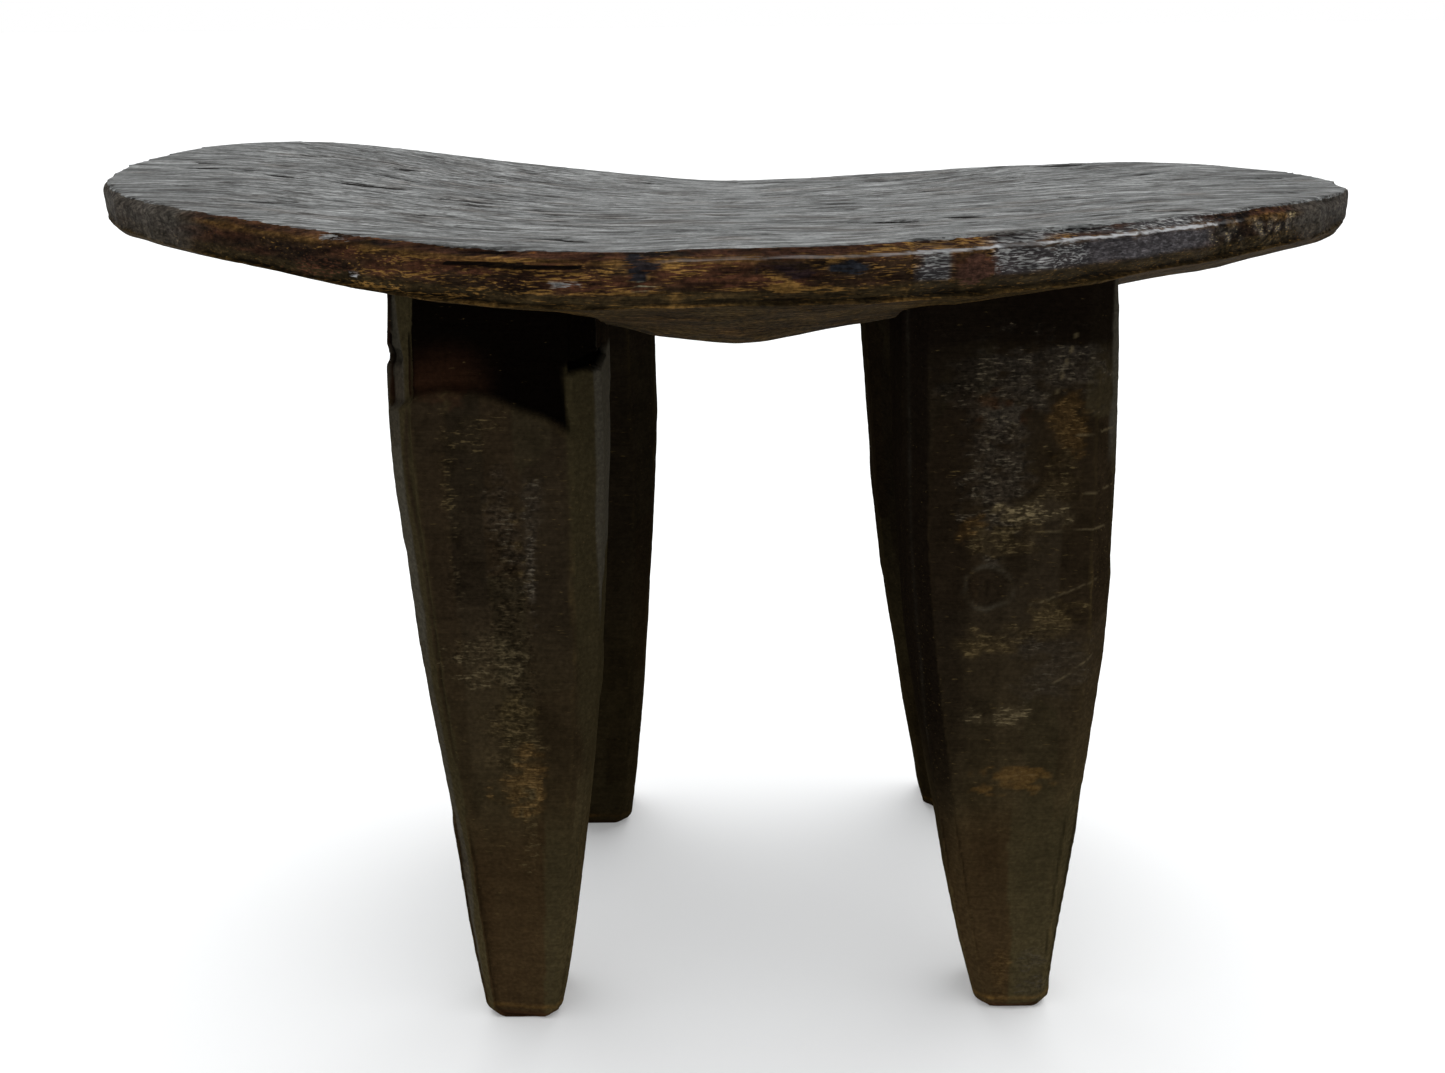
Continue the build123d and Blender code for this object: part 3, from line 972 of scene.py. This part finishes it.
def add_crown(wood, colour, ragged):
    """The weathered top, greyed by painted sheen, in thin streaks, ending at the rim in a ragged edge."""
    weather = wood.grain(20, 1.2, 5.0, 0.6)
    dark_streaks = wood.grain(12, 0.65, 3.0, 0.3)
    crown = wood.blend(wood.spread(weather, 0.47, 0.62, 0.0, 0.72), wood.field("crown", "Color"), TOP_DARK)
    crown = wood.blend(wood.spread(dark_streaks, 0.55, 0.64, 0.0, 0.75), crown, TOP_DARK * 0.7)
    nudge = wood.times(wood.add(ragged, -0.5), 0.5)
    edge = wood.spread(wood.add(wood.field("top"), nudge), 0.40, 0.56, 0.0, 1.0)
    return wood.blend(edge, colour, crown)


def add_cracks_and_glint(wood, colour, broad, fine):
    """Black cracks, and a thin painted highlight along the arris that wanders and breaks."""
    split = wood.add(wood.field("crack"), wood.times(wood.add(fine, -0.5), 0.8))
    colour = wood.blend(wood.spread(split, 0.22, 0.42, 0.0, 0.93), colour, SOOT_AND_SHADE * 0.5)
    wander = wood.times(wood.add(fine, -0.5), 2.0 / RISE_SPAN)
    off = wood.add(wood.add(wood.field("rise"), wander), -0.5)
    off = wood.combine("ABSOLUTE", off, 0.0)
    line = wood.spread(off, 0.1 / RISE_SPAN, 0.9 / RISE_SPAN, 1.0, 0.0)
    line = wood.times(line, wood.spread(broad, 0.40, 0.56, 0.2, 1.0))
    return wood.blend(wood.times(line, wood.field("glint")), colour, PALE)


def make_wood(name, streaks, flake, grit, rough, specular, crowned):
    """Wood with grain along X, steered by the mesh's fields.

    patina is the ground colour; stain shows through it in ragged flakes, more of them where cover
    is high. On the seat, crown is the weathered colour with painted sheen where top is 1, crack
    darkens, and glint draws a painted highlight where rise is a half. gloss is for the roughness,
    fibre for the relief and crumb for a crumbly surface. Streaks and grit are how much the tone varies,
    flake is the length and width of the flakes in mm, and rough is the roughness of dull and of glossy wood.
    """
    material = bpy.data.materials.new(name)
    material.use_nodes = True
    wood = Nodes(material.node_tree)
    broad = wood.grain(48, 2.6, 5.0, 0.3)
    fine = wood.grain(16, 0.9, 4.0, 0.2)
    pores = wood.grain(7, 0.6, 2.0)
    speck = wood.grain(1.8, 1.8, 5.0)
    ragged = wood.grain(*flake, 5.0, 0.15)
    crumbs = wood.grain(2.0, 1.5, 5.0, 0.3)
    tone = wood.times(wood.spread(broad, 0.34, 0.66, 1.0 - streaks, 1.0 + streaks * 0.8),
                      wood.spread(fine, 0.3, 0.7, 1.0 - streaks * 0.7, 1.0 + streaks * 0.6))
    tone = wood.times(tone, wood.spread(pores, 0.60, 0.72, 1.0, 1.0 - streaks))
    tone = wood.times(tone, wood.spread(speck, 0.3, 0.7, 1.0 - grit, 1.0 + grit))
    crumbled = wood.times(wood.spread(crumbs, 0.36, 0.64, -0.85, 0.95), wood.field("crumb"))
    tone = wood.times(tone, wood.add(crumbled, 1.0))

    shown = wood.add(ragged, wood.times(wood.field("cover"), 0.40))
    shown = wood.spread(shown, 0.68, 0.80, 0.0, 0.9)
    colour = wood.blend(shown, wood.field("patina", "Color"), wood.field("stain", "Color"))
    if crowned:
        colour = add_crown(wood, colour, ragged)
    colour = wood.scale(colour, tone)
    if crowned:
        colour = add_cracks_and_glint(wood, colour, broad, fine)

    roughness = wood.spread(wood.field("gloss"), 0.0, 1.0, *rough)
    roughness = wood.add(roughness, wood.spread(fine, 0.3, 0.7, 0.08, -0.08))

    height = wood.add(wood.times(broad, 0.55), wood.times(fine, 0.3))
    height = wood.add(height, wood.spread(pores, 0.60, 0.72, 0.0, -0.25))
    height = wood.add(height, wood.times(speck, grit))
    height = wood.add(height, wood.times(wood.times(crumbs, wood.field("crumb")), 1.2))
    bump = wood.new("Bump")
    wood.feed(bump, {"Distance": BUMP_HEIGHT, "Strength": wood.field("fibre"), "Height": height})
    wood.feed(material.node_tree.nodes["Principled BSDF"], {
        "Base Color": colour, "Roughness": roughness, "Specular IOR Level": specular,
        "Normal": bump.outputs["Normal"],
    })
    return material


# -------- light, floor, camera
FLOOR_SIZE = 40.0          # half its width, in m
FLOOR_DROP = 0.0004        # just under the feet, in m
FLOOR_GREY, FLOOR_GLOW = 0.70, 0.22
SUN_ELEVATION, SUN_AZIMUTH = 74, 165     # azimuth 0 is behind the camera, 180 behind the object
SUN_SPREAD, SUN_STRENGTH = 80, 2.9
WORLD_DIM, WORLD_BRIGHT = 0.22, 1.05     # before and behind the object
LENS = 36.12               # mm, on a sensor 36 mm wide
CAMERA_PLACE = (-0.004, -0.680, 0.4472)
LOOK_DOWN, ROLL = 19.96, -0.5            # degrees


def floor_paint():
    """Pale and matt; it glows a little, as a light table does, so that shadows stay pale."""
    material = bpy.data.materials.new("floor_paint")
    material.use_nodes = True
    inputs = material.node_tree.nodes["Principled BSDF"].inputs
    inputs["Base Color"].default_value = (FLOOR_GREY, FLOOR_GREY, FLOOR_GREY, 1.0)
    inputs["Roughness"].default_value = 0.9
    inputs["Specular IOR Level"].default_value = 0.1
    inputs["Emission Color"].default_value = (1.0, 1.0, 1.0, 1.0)
    inputs["Emission Strength"].default_value = FLOOR_GLOW
    return material


def add_floor():
    work = bmesh.new()
    bmesh.ops.create_grid(work, x_segments=1, y_segments=1, size=FLOOR_SIZE)
    mesh = bpy.data.meshes.new("floor")
    work.to_mesh(mesh)
    work.free()
    floor = bpy.data.objects.new("floor", mesh)
    floor.location.z = -FLOOR_DROP
    mesh.materials.append(floor_paint())
    bpy.context.scene.collection.objects.link(floor)


def add_sun():
    """A soft distant light, high up behind the object."""
    data = bpy.data.lights.new("sky", "SUN")
    data.energy = SUN_STRENGTH
    data.angle = math.radians(SUN_SPREAD)
    lamp = bpy.data.objects.new("sky", data)
    lamp.rotation_euler = (math.radians(90 - SUN_ELEVATION), 0.0, math.radians(SUN_AZIMUTH))
    bpy.context.scene.collection.objects.link(lamp)


def add_world():
    """White to the eye; as light it is dim, and brighter behind the object than before it."""
    world = bpy.data.worlds.new("studio")
    bpy.context.scene.world = world
    world.use_nodes = True
    world.node_tree.nodes.clear()
    sky = Nodes(world.node_tree)
    split, soft, seen = sky.new("SeparateXYZ"), sky.new("Background"), sky.new("Background")
    sky.feed(split, {"Vector": sky.place.outputs["Generated"]})
    strength = sky.spread(split.outputs["Y"], -0.7, 0.8, WORLD_DIM, WORLD_BRIGHT)
    sky.feed(soft, {"Color": (0.95, 0.98, 1.0, 1.0), "Strength": strength})
    sky.feed(seen, {"Color": (1.0, 1.0, 1.0, 1.0)})
    to_camera = sky.new("LightPath").outputs["Is Camera Ray"]
    blend = sky.new("MixShader")
    sky.feed(blend, {0: to_camera, 1: soft.outputs["Background"], 2: seen.outputs["Background"]})
    sky.feed(sky.new("OutputWorld"), {"Surface": blend.outputs["Shader"]})


def add_camera():
    data = bpy.data.cameras.new("camera")
    data.sensor_fit = "HORIZONTAL"
    data.sensor_width = 36.0
    data.lens = LENS
    camera = bpy.data.objects.new("camera", data)
    pitch = Matrix.Rotation(math.radians(90.0 - LOOK_DOWN), 4, "X")
    roll = Matrix.Rotation(math.radians(ROLL), 4, "Z")
    camera.matrix_world = Matrix.Translation(CAMERA_PLACE) @ pitch @ roll
    bpy.context.scene.collection.objects.link(camera)
    bpy.context.scene.camera = camera


# -------- assembly
def build():
    seat_wood = make_wood("seat_wood", streaks=0.38, flake=(8.0, 0.6), grit=0.16,
                          rough=(0.95, 0.27), specular=0.04, crowned=True)
    leg_wood = make_wood("leg_wood", streaks=0.08, flake=(5.0, 1.0), grit=0.14,
                         rough=(0.95, 0.5), specular=0.0, crowned=False)
    seat, zones = carve_seat()
    seat.finish(colour_seat(seat, zones), "seat_wood", seat_wood)
    for number, node in enumerate(n for n in sorted(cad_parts) if n.startswith("leg")):
        seed = 100 + 40 * number
        leg = carve_leg(node, seed)
        cuts = {"leg_front_left": front_left_cuts, "leg_front_right": front_right_cuts}.get(node)
        special = cuts(leg) if cuts else None
        leg.finish(colour_leg(leg, node, seed, special), "leg_wood", leg_wood)
    add_floor()
    add_world()
    add_sun()
    add_camera()
    bpy.context.scene.view_settings.view_transform = "Standard"


build()
